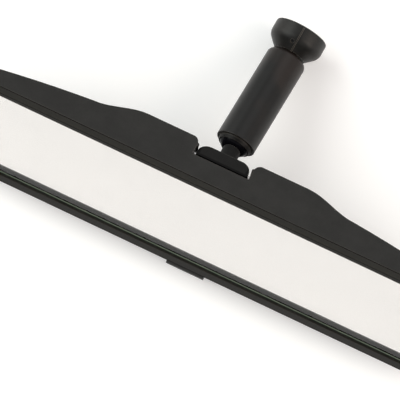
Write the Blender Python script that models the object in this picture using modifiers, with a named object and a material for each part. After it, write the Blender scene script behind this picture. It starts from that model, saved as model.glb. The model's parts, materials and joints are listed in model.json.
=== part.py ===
"""Day/night interior rear-view mirror on a double-ball arm with a windscreen foot.

Metres, +Z up. The glass faces -Y and its long side runs along X. The origin is the centre
of the flat seat in the foot, where the button that is glued to the windscreen sits.
"""
import math

import bmesh
import bpy
from mathutils import Matrix, Vector

MM = 0.001

# ---- fits -------------------------------------------------------------------
GAP = 0.3 * MM                    # between pieces that rest on each other
BALL_GAP = 0.15 * MM              # between a ball, its liner and the tube
PIN_GAP = 0.2 * MM                # round a pin in its hole

# ---- overall sizes ----------------------------------------------------------
CASE_LENGTH = 250.0 * MM
CASE_HEIGHT = 64.7 * MM
CORNER_RADIUS = 11.0 * MM

# ---- depth of the rear case, seen from above --------------------------------
HUMP_DEPTH = 23.5 * MM
SHOULDER_DEPTH = 17.5 * MM
END_DEPTH = 7.8 * MM
HUMP_HALF_WIDTH = 39.5 * MM
SHOULDER_HALF_WIDTH = 64.0 * MM
END_CONVEXITY = 0.35              # share of the taper that is curved
CASE_WALL = 1.6 * MM
CASE_EDGE = 1.3 * MM

# ---- bezel, glass and what lies behind it -----------------------------------
BEZEL_DEPTH = 2.75 * MM
BEZEL_LIP = 1.1 * MM              # thickness of the lip in front of the glass
BEZEL_BORDER = 2.9 * MM           # width of the lip seen from the front
BEZEL_BOTTOM_BORDER = 4.8 * MM    # the same along the lower edge
BEZEL_REBATE = 1.5 * MM           # how far the rebate is wider than the opening
BEZEL_EDGE = 0.6 * MM
GLASS_MARGIN = 0.45 * MM          # between the glass and the rebate's wall
GLASS_THIN = 2.4 * MM             # at the lower edge
GLASS_THICK = 4.2 * MM            # at the upper edge
SILVER_THICKNESS = 0.3 * MM
SILVER_INSET = 1.0 * MM
FOAM_SIZE = (180.0 * MM, 46.0 * MM)
FOAM_BACK = 9.0 * MM              # depth of the foam's rear face behind the bezel's front

# ---- notch and pocket for the pivot bracket ---------------------------------
NOTCH_HALF_WIDTH = 13.75 * MM
NOTCH_DEPTH = 9.35 * MM
NOTCH_CORNER = 3.6 * MM
POCKET_HEIGHT = 22.5 * MM
POCKET_WALL = 1.8 * MM
BEAD_RADIUS = 0.8 * MM
BEAD_INSET = 3.2 * MM

# ---- pivot bracket ----------------------------------------------------------
BRACKET_HALF_WIDTH = 12.6 * MM
BRACKET_DEPTH = 6.6 * MM
BRACKET_HEIGHT = 14.5 * MM
BRACKET_BELOW_TOP = 0.75 * MM
BRACKET_FRONT_GAP = 0.134 * NOTCH_DEPTH
BRACKET_BACK_CORNER = 5.0 * MM
BRACKET_FRONT_CORNER = 1.2 * MM
TAIL_HALF_WIDTH = 5.0 * MM
TAIL_TIP_HALF_WIDTH = 3.0 * MM
TAIL_THICKNESS = 2.5 * MM
TAIL_TIP_BELOW_PIN = 1.5 * MM
TAIL_PIN_RADIUS = 1.0 * MM
TAIL_PIN_HALF_LENGTH = 5.9 * MM

# ---- tilt axle --------------------------------------------------------------
AXLE_BEHIND_NOTCH = 0.39 * NOTCH_DEPTH    # from the notch's front wall back to the axle
AXLE_BELOW_TOP = 5.25 * MM
AXLE_RADIUS = 1.5 * MM
AXLE_OVERHANG = 1.9 * MM          # past the inner face of its clips
CLIP_RADIUS = 2.8 * MM
CLIP_THICKNESS = 0.8 * MM
TILT_ANGLE = math.radians(4.5)

# ---- flip lever -------------------------------------------------------------
LEVER_WIDTH = 18.7 * MM
LEVER_HUB_RADIUS = 0.0472 * CASE_HEIGHT
LEVER_PIN_RADIUS = 1.2 * MM
LEVER_PIN_HEIGHT = 0.1535 * CASE_HEIGHT   # above the bottom of the case
LEVER_THICKNESS = 2.3 * MM
LEVER_LENGTH = 19.8 * MM          # from the pin to the middle of the bead
LEVER_BEAD_RADIUS = 1.6 * MM
LEVER_ANGLE = math.radians(30.3)  # forward lean of the tab
LEVER_TRAVEL = math.radians(36.0)
LEVER_SIDE_GAP = 0.55 * MM
FORK_SLOT_GAP = 0.45 * MM
FORK_THICKNESS = 2.0 * MM
FORK_WIDTH = 1.9 * LEVER_HUB_RADIUS
EAR_THICKNESS = 2.0 * MM
EAR_HALF_DEPTH = 2.9 * MM
EAR_ABOVE_PIN = 3.2 * MM
LEAF_SIZE = (33.0 * MM, 4.0 * MM)
LEAF_THICKNESS = 0.4 * MM
LEAF_BOW = 0.6 * MM
LEAF_SCREW_SPACING = 29.0 * MM
SCREW_RADIUS = 0.9 * MM
SCREW_HEAD_RADIUS = 1.9 * MM
SCREW_HEAD_HEIGHT = 0.9 * MM
BOSS_RADIUS = 2.3 * MM

# ---- balls, liners and arm tube ---------------------------------------------
BALL_RADIUS = 8.25 * MM
LINER_THICKNESS = 0.3 * MM
LINER_OPENING = math.radians(60.0)
UPPER_LINER_OPENING = math.radians(52.0)
LINER_END = math.radians(104.0)
CUP_START = math.radians(132.0)
CUP_BACK = 10.2 * MM              # from the ball's centre to the flat back of its cup
TUBE_WALL = 0.55 * MM
TUBE_LENGTH = 49.2 * MM
TUBE_MOUTH = 2.75 * MM            # from the lower ball's centre to the tube's open end
TUBE_CRIMP_RADIUS = 2.55 * MM     # rounding of the crimped upper end
TUBE_MOUTH_ROLL = 0.4 * MM
SPRING_RADIUS = 5.0 * MM
SPRING_WIRE = 0.75 * MM
SPRING_TURNS = 5.5

LOWER_NECK_RADIUS = 4.15 * MM
UPPER_NECK_RADIUS = 3.3 * MM
STEM_RADIUS = 2.4 * MM
STEM_PAST_CENTRE = 3.0 * MM
LOWER_BALL_BEHIND_CASE = 13.7 * MM
LOWER_BALL_BELOW_TOP = 7.75 * MM

# ---- foot -------------------------------------------------------------------
FOOT_RADIUS = 12.6 * MM
FOOT_BAND = 7.1 * MM
FOOT_TO_BALL = 19.2 * MM          # from the rim to the upper ball's centre
FOOT_SWEEP_GAP = 0.26 * MM        # between the hollow under the bell and the tube's end
FOOT_EDGE = 0.8 * MM
SOCKET_RADIUS = 8.5 * MM
SOCKET_DEPTH = 7.0 * MM
SNAP_RING_WIRE = 0.45 * MM
SNAP_RING_BELOW_RIM = 1.8 * MM
SET_SCREW_RADIUS = 0.8 * MM
SET_SCREW_LENGTH = 2.6 * MM
SET_SCREW_SUNK = 0.4 * MM         # below the surface of the cone
SET_SCREW_BELOW_RIM = 8.5 * MM
SET_SCREW_TURN = math.radians(-9.4)
RIB_WIDTH = 0.55 * MM
RIB_HEIGHT = 0.3 * MM
RIB_ROOT = 0.85 * MM              # how far in and up the rib is set into the bell
BELL_TURN_RADIUS = 4.5 * MM       # where the band turns into the cone

# ---- rest pose --------------------------------------------------------------
FOOT_PITCH = math.radians(22.7)   # above the horizontal
FOOT_YAW = math.radians(4.0)      # towards +X
FOOT_ROLL = math.radians(8.0)
ARM_PITCH = math.radians(12.5)
ARM_YAW = math.radians(3.6)

# ---- facets -----------------------------------------------------------------
ROUND_STEPS = 30
ARC_STEP = math.radians(12.0)

# ---- places that follow from the sizes --------------------------------------
TOP = CASE_HEIGHT / 2
CASE_FRONT = BEZEL_DEPTH + GAP
OPENING = (CASE_LENGTH - 2 * BEZEL_BORDER, CASE_HEIGHT - BEZEL_BORDER - BEZEL_BOTTOM_BORDER)
OPENING_RISE = (BEZEL_BOTTOM_BORDER - BEZEL_BORDER) / 2
REBATE = (OPENING[0] + 2 * BEZEL_REBATE, OPENING[1] + 2 * BEZEL_REBATE)
GLASS = (REBATE[0] - 2 * GLASS_MARGIN, REBATE[1] - 2 * GLASS_MARGIN)
GLASS_FRONT = BEZEL_LIP + GAP
NOTCH_FRONT = HUMP_DEPTH - NOTCH_DEPTH
POCKET_BOTTOM = TOP - POCKET_HEIGHT
AXLE_Y = NOTCH_FRONT + AXLE_BEHIND_NOTCH
AXLE_Z = TOP - AXLE_BELOW_TOP
BRACKET_FRONT = NOTCH_FRONT + BRACKET_FRONT_GAP
BRACKET_TOP = TOP - BRACKET_BELOW_TOP
LOWER_BALL = Vector((0.0, HUMP_DEPTH + LOWER_BALL_BEHIND_CASE, TOP - LOWER_BALL_BELOW_TOP))
LINER_INNER = BALL_RADIUS + BALL_GAP
LINER_OUTER = LINER_INNER + LINER_THICKNESS
TUBE_BORE = LINER_OUTER + BALL_GAP
TUBE_RADIUS = TUBE_BORE + TUBE_WALL
TUBE_LIP = TUBE_RADIUS - TUBE_CRIMP_RADIUS
TUBE_TOP = math.sqrt(TUBE_BORE ** 2 - TUBE_LIP ** 2) + TUBE_WALL
BALL_SPACING = TUBE_LENGTH - TUBE_MOUTH - TUBE_TOP
SEAT_TO_BALL = FOOT_TO_BALL - SOCKET_DEPTH
LEVER_Z = -TOP + LEVER_PIN_HEIGHT
TAIL_Y = BRACKET_FRONT + 0.2 * MM + TAIL_THICKNESS / 2


def solve_fork():
    """Reach of the lever's fork, and the lever pin's depth, from the two joints' travel."""
    reach = 5.3 * MM
    for _ in range(20):
        drop = AXLE_Z - LEVER_Z - reach * math.cos(LEVER_TRAVEL / 2)
        reach = drop * math.sin(TILT_ANGLE) / (2 * math.sin(LEVER_TRAVEL / 2))
    return reach, TAIL_Y - reach * math.sin(LEVER_TRAVEL / 2)


FORK_REACH, LEVER_Y = solve_fork()
TAIL_PIN_Z = LEVER_Z + FORK_REACH * math.cos(LEVER_TRAVEL / 2)


# ---- scene ------------------------------------------------------------------
def clear_scene():
    for item in list(bpy.data.objects):
        bpy.data.objects.remove(item, do_unlink=True)


def make_collection(name):
    collection = bpy.data.collections.new(name)
    bpy.context.scene.collection.children.link(collection)
    return collection


clear_scene()
PARTS = make_collection("rear_view_mirror")
CUTTERS = make_collection("cutters")


def material(name, colour, roughness, metallic=0.0):
    made = bpy.data.materials.new(name)
    made.use_nodes = True
    shader = made.node_tree.nodes["Principled BSDF"]
    shader.inputs["Base Color"].default_value = (*colour, 1.0)
    shader.inputs["Roughness"].default_value = roughness
    shader.inputs["Metallic"].default_value = metallic
    return made


def frame(name, place, rotation=None):
    """An empty that carries the pieces of one joint."""
    empty = bpy.data.objects.new(name, None)
    empty.empty_display_size = 0.01
    PARTS.objects.link(empty)
    turn = rotation.to_4x4() if rotation else Matrix.Identity(4)
    empty.matrix_world = Matrix.Translation(place) @ turn
    return empty


def aim(pitch, yaw, roll=0.0):
    """Rotation that takes +Z to a direction pitched above +Y and turned towards +X."""
    level = Matrix.Rotation(-math.pi / 2 + pitch, 3, "X")
    return Matrix.Rotation(-yaw, 3, "Z") @ level @ Matrix.Rotation(roll, 3, "Z")


def place(item, parent, location=(0, 0, 0), rotation=(0, 0, 0)):
    item.parent = parent
    item.location = location
    item.rotation_euler = rotation
    return item


def add_mesh(name, mesh, finish=None):
    item = bpy.data.objects.new(name, mesh)
    if finish:
        mesh.materials.clear()
        mesh.materials.append(finish)
        PARTS.objects.link(item)
    else:
        item.hide_render = True
        item.display_type = "WIRE"
        CUTTERS.objects.link(item)
    return item


# ---- outlines ---------------------------------------------------------------
def arc(centre, radius, start, end, step=ARC_STEP):
    """Points on an arc, from one angle to another, both ends included."""
    count = max(2, math.ceil(abs(end - start) / step))
    angles = [start + (end - start) * i / count for i in range(count + 1)]
    return [(centre[0] + radius * math.cos(a), centre[1] + radius * math.sin(a)) for a in angles]


def ball_arc(centre, radius, start, end):
    """Profile points (radius, height) on a ball, from polar angle start to end."""
    points = arc((0.0, 0.0), radius, start, end)
    return [(sine, centre + cosine) for cosine, sine in points]


def rounded_rectangle(width, height, radius):
    x, y = width / 2 - radius, height / 2 - radius
    quarter = math.pi / 2
    points = []
    for number, (sx, sy) in enumerate(((1, 1), (-1, 1), (-1, -1), (1, -1))):
        points += arc((sx * x, sy * y), radius, number * quarter, (number + 1) * quarter)
    return points


# ---- solids -----------------------------------------------------------------
def turned(name, profile, finish=None, closed=False, steps=ROUND_STEPS):
    """A profile of (radius, height) points turned round local Z."""
    mesh = bpy.data.meshes.new(name)
    count = len(profile)
    edges = [(i, i + 1) for i in range(count - 1)]
    if closed:
        edges.append((count - 1, 0))
    mesh.from_pydata([(r, 0.0, z) for r, z in profile], edges, [])
    item = add_mesh(name, mesh, finish)
    screw = item.modifiers.new("turn", "SCREW")
    screw.axis = "Z"
    screw.steps = steps
    screw.render_steps = steps
    screw.use_merge_vertices = True
    screw.merge_threshold = 0.000001
    screw.use_smooth_shade = True
    return item


def extruded(name, outline, thickness, finish=None):
    """A flat outline in local XY, extruded evenly to both sides along local Z."""
    curve = bpy.data.curves.new(name, "CURVE")
    curve.dimensions = "2D"
    curve.fill_mode = "BOTH"
    curve.extrude = thickness / 2
    spline = curve.splines.new("POLY")
    spline.points.add(len(outline) - 1)
    for point, (x, y) in zip(spline.points, outline):
        point.co = (x, y, 0.0, 1.0)
    spline.use_cyclic_u = True
    return to_mesh(name, curve, finish)


def wire(name, points, radius, finish):
    curve = bpy.data.curves.new(name, "CURVE")
    curve.dimensions = "3D"
    curve.bevel_depth = radius
    curve.bevel_resolution = 2
    curve.use_fill_caps = True
    spline = curve.splines.new("POLY")
    spline.points.add(len(points) - 1)
    for point, place_of in zip(spline.points, points):
        point.co = (*place_of, 1.0)
    return to_mesh(name, curve, finish)


def to_mesh(name, curve, finish):
    """The curve as a closed mesh object."""
    source = bpy.data.objects.new(name + "_curve", curve)
    bpy.context.scene.collection.objects.link(source)
    graph = bpy.context.evaluated_depsgraph_get()
    mesh = bpy.data.meshes.new_from_object(source.evaluated_get(graph))
    mesh.name = name
    bpy.data.objects.remove(source, do_unlink=True)
    bpy.data.curves.remove(curve)
    work = bmesh.new()
    work.from_mesh(mesh)
    bmesh.ops.remove_doubles(work, verts=work.verts, dist=0.000001)
    bmesh.ops.recalc_face_normals(work, faces=work.faces)
    work.to_mesh(mesh)
    work.free()
    return add_mesh(name, mesh, finish)


def block(name, low, high, finish=None):
    """A box between two corners, given in its parent's axes."""
    mesh = bpy.data.meshes.new(name)
    work = bmesh.new()
    size = [h - l for l, h in zip(low, high)]
    middle = [(l + h) / 2 for l, h in zip(low, high)]
    bmesh.ops.create_cube(work, size=1.0)
    bmesh.ops.scale(work, vec=size, verts=work.verts)
    bmesh.ops.translate(work, vec=middle, verts=work.verts)
    work.to_mesh(mesh)
    work.free()
    return add_mesh(name, mesh, finish)


def rod(name, radius, length, finish=None, steps=24):
    """A cylinder along local Z, centred on its origin."""
    mesh = bpy.data.meshes.new(name)
    work = bmesh.new()
    bmesh.ops.create_cone(work, cap_ends=True, segments=steps, radius1=radius, radius2=radius,
                          depth=length)
    work.to_mesh(mesh)
    work.free()
    return add_mesh(name, mesh, finish)


def boolean(target, other, operation):
    step = target.modifiers.new(operation.lower() + "_" + other.name, "BOOLEAN")
    step.operation = operation
    step.solver = "EXACT"
    step.object = other
    return target


def cut(target, *others):
    for other in others:
        boolean(target, other, "DIFFERENCE")


def join(target, *others):
    for other in others:
        boolean(target, other, "UNION")


def keep(target, other):
    boolean(target, other, "INTERSECT")


def bevel(target, width, segments=2, angle=40.0):
    step = target.modifiers.new("rounded_edges", "BEVEL")
    step.width = width
    step.segments = segments
    step.limit_method = "ANGLE"
    step.angle_limit = math.radians(angle)
    return target


ALONG_X = (0.0, math.pi / 2, 0.0)      # local Z to +X
FACE_PLANE = (math.pi / 2, 0.0, 0.0)   # local XY to world XZ, local Z to -Y
SIDE_PLANE = (math.pi / 2, 0.0, math.pi / 2)   # local XY to world YZ, local Z to +X


# ---- rear case --------------------------------------------------------------
def case_depth(x):
    """Distance of the case's back from the bezel's front, at a distance x from the middle."""
    x = abs(x)
    if x <= HUMP_HALF_WIDTH:
        return HUMP_DEPTH
    if x <= SHOULDER_HALF_WIDTH:
        share = (x - HUMP_HALF_WIDTH) / (SHOULDER_HALF_WIDTH - HUMP_HALF_WIDTH)
        ease = share * share * (3 - 2 * share)
        return HUMP_DEPTH + (SHOULDER_DEPTH - HUMP_DEPTH) * ease
    share = (x - SHOULDER_HALF_WIDTH) / (CASE_LENGTH / 2 - SHOULDER_HALF_WIDTH)
    curve = (1 - END_CONVEXITY) * share + END_CONVEXITY * share * share
    return SHOULDER_DEPTH + (END_DEPTH - SHOULDER_DEPTH) * curve


def case_outline(front, wall):
    """Plan of the case, seen from above, or of the hollow inside a wall."""
    half = CASE_LENGTH / 2 - wall
    turns = 8
    ends = 7
    stations = [HUMP_HALF_WIDTH * 0.55]
    span = SHOULDER_HALF_WIDTH - HUMP_HALF_WIDTH
    stations += [HUMP_HALF_WIDTH + span * i / turns for i in range(turns)]
    stations += [SHOULDER_HALF_WIDTH + (half - SHOULDER_HALF_WIDTH) * i / ends for i in range(ends + 1)]
    right = [(x, case_depth(x) - wall) for x in reversed(stations)]
    left = [(-x, y) for x, y in reversed(right)]
    return [(-half, front), (half, front)] + right + left


def case_body(name, front, wall, parent, finish=None):
    """The case's plan, kept inside its rounded front outline."""
    body = extruded(name, case_outline(front, wall), CASE_HEIGHT - 2 * wall, finish)
    place(body, parent)
    face = rounded_rectangle(CASE_LENGTH - 2 * wall, CASE_HEIGHT - 2 * wall, CORNER_RADIUS - wall)
    outline = extruded(name + "_face", face, 4 * HUMP_DEPTH)
    place(outline, parent, rotation=FACE_PLANE)
    keep(body, outline)
    return body


def pocket_plan(half_width, front, corner):
    """Plan of the notch, flared by the rounded corners of the case's back."""
    past = HUMP_DEPTH + 6 * MM
    flare_y = HUMP_DEPTH - corner
    flare_x = half_width + corner
    right = arc((flare_x, flare_y), corner, math.pi, math.pi / 2)
    left = [(-x, y) for x, y in reversed(right)]
    return [(-half_width, front), (half_width, front)] + right + [(flare_x, past), (-flare_x, past)] + left


def rear_case(parent, finish):
    case = case_body("rear_case", CASE_FRONT, 0.0, parent, finish)
    bevel(case, CASE_EDGE)
    hollow = case_body("case_hollow", CASE_FRONT - 2 * MM, CASE_WALL, parent)
    outer = NOTCH_HALF_WIDTH + POCKET_WALL
    walls = block("pocket_walls", (-outer, NOTCH_FRONT - POCKET_WALL, POCKET_BOTTOM - POCKET_WALL),
                  (outer, 2 * HUMP_DEPTH, TOP))
    place(walls, parent)
    cut(hollow, walls)
    cut(case, hollow)
    join(case, *case_ears(parent), *leaf_bosses(parent))
    cut(case, pocket(parent), tail_slot(parent), lever_slot(parent))
    cut(case, *case_pin_holes(parent), *leaf_screw_holes(parent))
    join(case, *notch_beads(parent))
    return case


def pocket(parent):
    height = POCKET_HEIGHT + 3 * MM
    plan = pocket_plan(NOTCH_HALF_WIDTH, NOTCH_FRONT, NOTCH_CORNER)
    return place(extruded("pocket", plan, height), parent, (0, 0, POCKET_BOTTOM + height / 2))


def tail_slot(parent):
    half = TAIL_HALF_WIDTH + 1.5 * MM
    sweep = (AXLE_Z - POCKET_BOTTOM + POCKET_WALL) * math.sin(TILT_ANGLE)
    low = (-half, TAIL_Y - TAIL_THICKNESS / 2 - sweep - 1 * MM, POCKET_BOTTOM - 2 * POCKET_WALL)
    high = (half, TAIL_Y + TAIL_THICKNESS / 2 + 1 * MM, POCKET_BOTTOM + POCKET_WALL)
    return place(block("tail_slot", low, high), parent)


def lever_reach_at(height, angle):
    """Depth of the lever's middle plane where it crosses a height below its pin."""
    return LEVER_Y - (LEVER_Z - height) * math.tan(angle)


def lever_slot(parent):
    half = LEVER_WIDTH / 2 + LEVER_SIDE_GAP
    margin = LEVER_THICKNESS / 2 / math.cos(LEVER_ANGLE) + 0.6 * MM
    front = lever_reach_at(-TOP, LEVER_ANGLE) - margin
    back = lever_reach_at(-TOP, LEVER_ANGLE - LEVER_TRAVEL) + margin
    cutter = block("lever_slot", (-half, front, -TOP - 2 * MM), (half, back, -TOP + 2 * CASE_WALL))
    return place(cutter, parent)


def ear_inner_face():
    return LEVER_WIDTH / 2 + LEVER_SIDE_GAP + 0.2 * MM


def case_ears(parent):
    """Two ears that rise from the case's floor and hold the lever's pin."""
    ears = []
    for name, side in (("ear_left", -1), ("ear_right", 1)):
        near, far = ear_inner_face(), ear_inner_face() + EAR_THICKNESS
        xs = sorted((side * near, side * far))
        low = (xs[0], LEVER_Y - EAR_HALF_DEPTH, -TOP + CASE_WALL / 2)
        high = (xs[1], LEVER_Y + EAR_HALF_DEPTH, LEVER_Z + EAR_ABOVE_PIN)
        ears.append(place(block(name, low, high), parent))
    return ears


def axle_half_length():
    return NOTCH_HALF_WIDTH + POCKET_WALL + GAP + AXLE_OVERHANG


def leaf_back():
    """Depth of the leaf spring's rear face at its screws."""
    return LEVER_Y + LEVER_HUB_RADIUS + LEAF_BOW + LEAF_THICKNESS + 2 * GAP


def leaf_bosses(parent):
    bosses = []
    length = HUMP_DEPTH - CASE_WALL / 2 - leaf_back() - GAP
    for name, side in (("boss_left", -1), ("boss_right", 1)):
        boss = rod(name, BOSS_RADIUS, length)
        spot = (side * LEAF_SCREW_SPACING / 2, leaf_back() + GAP + length / 2, LEVER_Z)
        bosses.append(place(boss, parent, spot, FACE_PLANE))
    return bosses


def leaf_screw_holes(parent):
    holes = []
    length = HUMP_DEPTH - CASE_WALL - leaf_back() - GAP
    for name, side in (("screw_hole_left", -1), ("screw_hole_right", 1)):
        hole = rod(name, SCREW_RADIUS + PIN_GAP, 2 * length, steps=16)
        spot = (side * LEAF_SCREW_SPACING / 2, leaf_back() + GAP, LEVER_Z)
        holes.append(place(hole, parent, spot, FACE_PLANE))
    return holes


def case_pin_holes(parent):
    axle = rod("axle_hole", AXLE_RADIUS + PIN_GAP, 2 * (axle_half_length() + GAP))
    lever = rod("lever_pin_hole", LEVER_PIN_RADIUS + PIN_GAP, 2 * (ear_inner_face() + 2 * EAR_THICKNESS))
    place(axle, parent, (0, AXLE_Y, AXLE_Z), ALONG_X)
    place(lever, parent, (0, LEVER_Y, LEVER_Z), ALONG_X)
    return [axle, lever]


def notch_beads(parent):
    """Half-round stop beads down both side walls of the notch."""
    beads = []
    length = POCKET_HEIGHT - 3 * MM
    for name, side in (("bead_left", -1), ("bead_right", 1)):
        bead = rod(name, BEAD_RADIUS, length, steps=12)
        spot = (side * NOTCH_HALF_WIDTH, HUMP_DEPTH - BEAD_INSET, TOP - 0.7 * MM - length / 2)
        beads.append(place(bead, parent, spot))
    return beads


# ---- bezel, glass, silvering and foam ---------------------------------------
def face_slab(name, size, radius, front, back, parent, finish=None):
    """A slab with a rounded outline, seen from the front, between two depths."""
    slab = extruded(name, rounded_rectangle(*size, radius), back - front, finish)
    return place(slab, parent, (0, (front + back) / 2, 0), FACE_PLANE)


def bezel(parent, window, finish):
    ring = face_slab("bezel", (CASE_LENGTH, CASE_HEIGHT), CORNER_RADIUS, 0.0, BEZEL_DEPTH, parent, finish)
    bevel(ring, BEZEL_EDGE)
    opening = face_slab("bezel_opening", OPENING, CORNER_RADIUS - BEZEL_BORDER, -2 * MM, 2 * BEZEL_DEPTH,
                        window)
    rebate = face_slab("bezel_rebate", REBATE, CORNER_RADIUS - BEZEL_BORDER + BEZEL_REBATE, BEZEL_LIP,
                       2 * BEZEL_DEPTH, window)
    cut(ring, opening, rebate)
    return ring


def glass_back(z):
    """Depth of the prism glass's rear face at a height."""
    share = (z + GLASS[1] / 2) / GLASS[1]
    return GLASS_FRONT + GLASS_THIN + (GLASS_THICK - GLASS_THIN) * share


def wedge(name, front, back, height, length, parent, finish):
    """A piece with the same section all along X, between two depths given as functions."""
    z = height / 2
    section = [(front(-z), -z), (back(-z), -z), (back(z), z), (front(z), z)]
    return place(extruded(name, section, length, finish), parent, rotation=SIDE_PLANE)


def glass_corner():
    return CORNER_RADIUS - BEZEL_BORDER + BEZEL_REBATE - GLASS_MARGIN


def prism_glass(parent, finish):
    glass = wedge("prism_glass", lambda z: GLASS_FRONT, glass_back, GLASS[1], GLASS[0], parent, finish)
    keep(glass, face_slab("glass_outline", GLASS, glass_corner(), -5 * MM, 20 * MM, parent))
    return glass


def silver_backing(parent, finish):
    size = (GLASS[0] - 2 * SILVER_INSET, GLASS[1] - 2 * SILVER_INSET)
    sheet = wedge("silver_backing", lambda z: glass_back(z) + GAP,
                  lambda z: glass_back(z) + GAP + SILVER_THICKNESS, size[1], size[0], parent, finish)
    keep(sheet, face_slab("silver_outline", size, glass_corner() - SILVER_INSET, -5 * MM, 20 * MM, parent))
    return sheet


def foam_pad(parent, finish):
    pad = wedge("foam_pad", lambda z: glass_back(z) + 2 * GAP + SILVER_THICKNESS, lambda z: FOAM_BACK,
                FOAM_SIZE[1], FOAM_SIZE[0], parent, finish)
    return bevel(pad, 0.5 * MM, 1)


# ---- tilt axle and clips ----------------------------------------------------
def tilt_axle(parent, finish):
    axle = rod("tilt_axle", AXLE_RADIUS, 2 * axle_half_length(), finish)
    return bevel(place(axle, parent, rotation=ALONG_X), 0.25 * MM, 1)


def axle_clip(name, side, parent, finish):
    """A push-on ring that stops the axle on the inside of the pocket's wall."""
    inner, half = AXLE_RADIUS + PIN_GAP, CLIP_THICKNESS / 2
    section = [(inner, half), (CLIP_RADIUS, half), (CLIP_RADIUS, -half), (inner, -half)]
    ring = turned(name, section, finish, closed=True, steps=24)
    spot = side * (NOTCH_HALF_WIDTH + POCKET_WALL + GAP + half)
    return place(ring, parent, (spot, 0, 0), ALONG_X)


# ---- pivot bracket ----------------------------------------------------------
def bracket_plan():
    """Plan of the bracket's head: flat front, steep ends and rounded back shoulders."""
    front, back = BRACKET_FRONT, BRACKET_FRONT + BRACKET_DEPTH
    half, small, large = BRACKET_HALF_WIDTH, BRACKET_FRONT_CORNER, BRACKET_BACK_CORNER
    quarter = math.pi / 2
    right = arc((half - small, front + small), small, -quarter, 0.0)
    right += arc((half - large, back - large), large, 0.0, quarter)
    return right + [(-x, y) for x, y in reversed(right)]


def bracket_tail(parent):
    """Flat tail that hangs from the head into the case and narrows at its tip."""
    top = BRACKET_TOP - BRACKET_HEIGHT + 1 * MM
    tip = TAIL_PIN_Z - TAIL_TIP_BELOW_PIN
    wide, narrow = TAIL_HALF_WIDTH, TAIL_TIP_HALF_WIDTH
    neck = TAIL_PIN_Z + 5 * MM
    right = [(wide, top), (wide, neck + (wide - narrow)), (narrow, neck), (narrow, tip)]
    outline = [(x, z) for x, z in right] + [(-x, z) for x, z in reversed(right)]
    tail = extruded("bracket_tail", outline, TAIL_THICKNESS)
    return place(tail, parent, (0, TAIL_Y, 0), FACE_PLANE)


def stem_end(neck_radius):
    """Distance from the ball's centre to the shoulder where the neck meets the ball."""
    return math.sqrt(BALL_RADIUS ** 2 - neck_radius ** 2) + GAP


def bracket_neck(parent):
    """Round neck and stem, along local +Z from the head to the ball."""
    start = BRACKET_FRONT + BRACKET_DEPTH - 2 * MM
    centre = LOWER_BALL.y - start
    shoulder = centre - stem_end(LOWER_NECK_RADIUS)
    profile = [(0.0, centre + STEM_PAST_CENTRE), (STEM_RADIUS, centre + STEM_PAST_CENTRE),
               (STEM_RADIUS, shoulder), (LOWER_NECK_RADIUS, shoulder)]
    fillet = 1.0 * MM
    foot = 2 * MM + fillet
    profile += [(LOWER_NECK_RADIUS + fillet - x, z) for x, z in
                [(fillet * math.cos(a), foot - fillet * math.sin(a)) for a in (0.0, 0.52, 1.05, 1.57)]]
    profile += [(LOWER_NECK_RADIUS + fillet, 0.0), (0.0, 0.0)]
    neck = turned("bracket_neck", profile)
    return place(neck, parent, (0, start, LOWER_BALL.z), (-math.pi / 2, 0, 0))


def pivot_bracket(parent, finish):
    head = extruded("pivot_bracket", bracket_plan(), BRACKET_HEIGHT, finish)
    place(head, parent, (0, 0, BRACKET_TOP - BRACKET_HEIGHT / 2))
    bevel(head, 0.4 * MM, 1)
    join(head, bracket_neck(parent), bracket_tail(parent))
    axle_hole = rod("bracket_axle_hole", AXLE_RADIUS + PIN_GAP, 4 * BRACKET_HALF_WIDTH)
    place(axle_hole, parent, (0, AXLE_Y, AXLE_Z), ALONG_X)
    pin_hole = rod("tail_pin_hole", TAIL_PIN_RADIUS + PIN_GAP, 4 * TAIL_HALF_WIDTH, steps=16)
    place(pin_hole, parent, (0, TAIL_Y, TAIL_PIN_Z), ALONG_X)
    cut(head, axle_hole, pin_hole)
    return head


def tail_pin(parent, finish):
    pin = rod("tail_pin", TAIL_PIN_RADIUS, 2 * TAIL_PIN_HALF_LENGTH, finish, steps=16)
    return place(pin, parent, (0, TAIL_Y, TAIL_PIN_Z), ALONG_X)


# ---- flip lever -------------------------------------------------------------
def lever_section():
    """Side view of the tab, along local -Y from the pin: a plate that ends in a bead."""
    half, bead = LEVER_THICKNESS / 2, LEVER_BEAD_RADIUS
    meet = math.asin(half / bead)
    end = arc((0.0, -LEVER_LENGTH), bead, math.pi / 2 + meet, 5 * math.pi / 2 - meet, math.radians(24))
    return [(half, 0.0), (-half, 0.0)] + end


def fork_ear(name, side, parent):
    """One ear of the fork, with a slot that is open at its end."""
    middle = side * (TAIL_TIP_HALF_WIDTH + 0.7 * MM + FORK_THICKNESS / 2)
    slot = TAIL_PIN_RADIUS + FORK_SLOT_GAP
    reach, half = FORK_REACH + TAIL_PIN_RADIUS + 0.4 * MM, FORK_WIDTH / 2
    floor = FORK_REACH - slot - 0.3 * MM
    outline = [(-half, 0.0), (half, 0.0), (half, reach), (slot, reach), (slot, floor), (-slot, floor),
               (-slot, reach), (-half, reach)]
    ear = extruded(name, outline, FORK_THICKNESS)
    ear.parent = parent
    ear.matrix_local = (Matrix.Translation((middle, 0, 0)) @ Matrix.Rotation(-LEVER_TRAVEL / 2, 4, "X")
                        @ Matrix.Rotation(math.pi / 2, 4, "Z") @ Matrix.Rotation(math.pi / 2, 4, "X"))
    return ear


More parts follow.
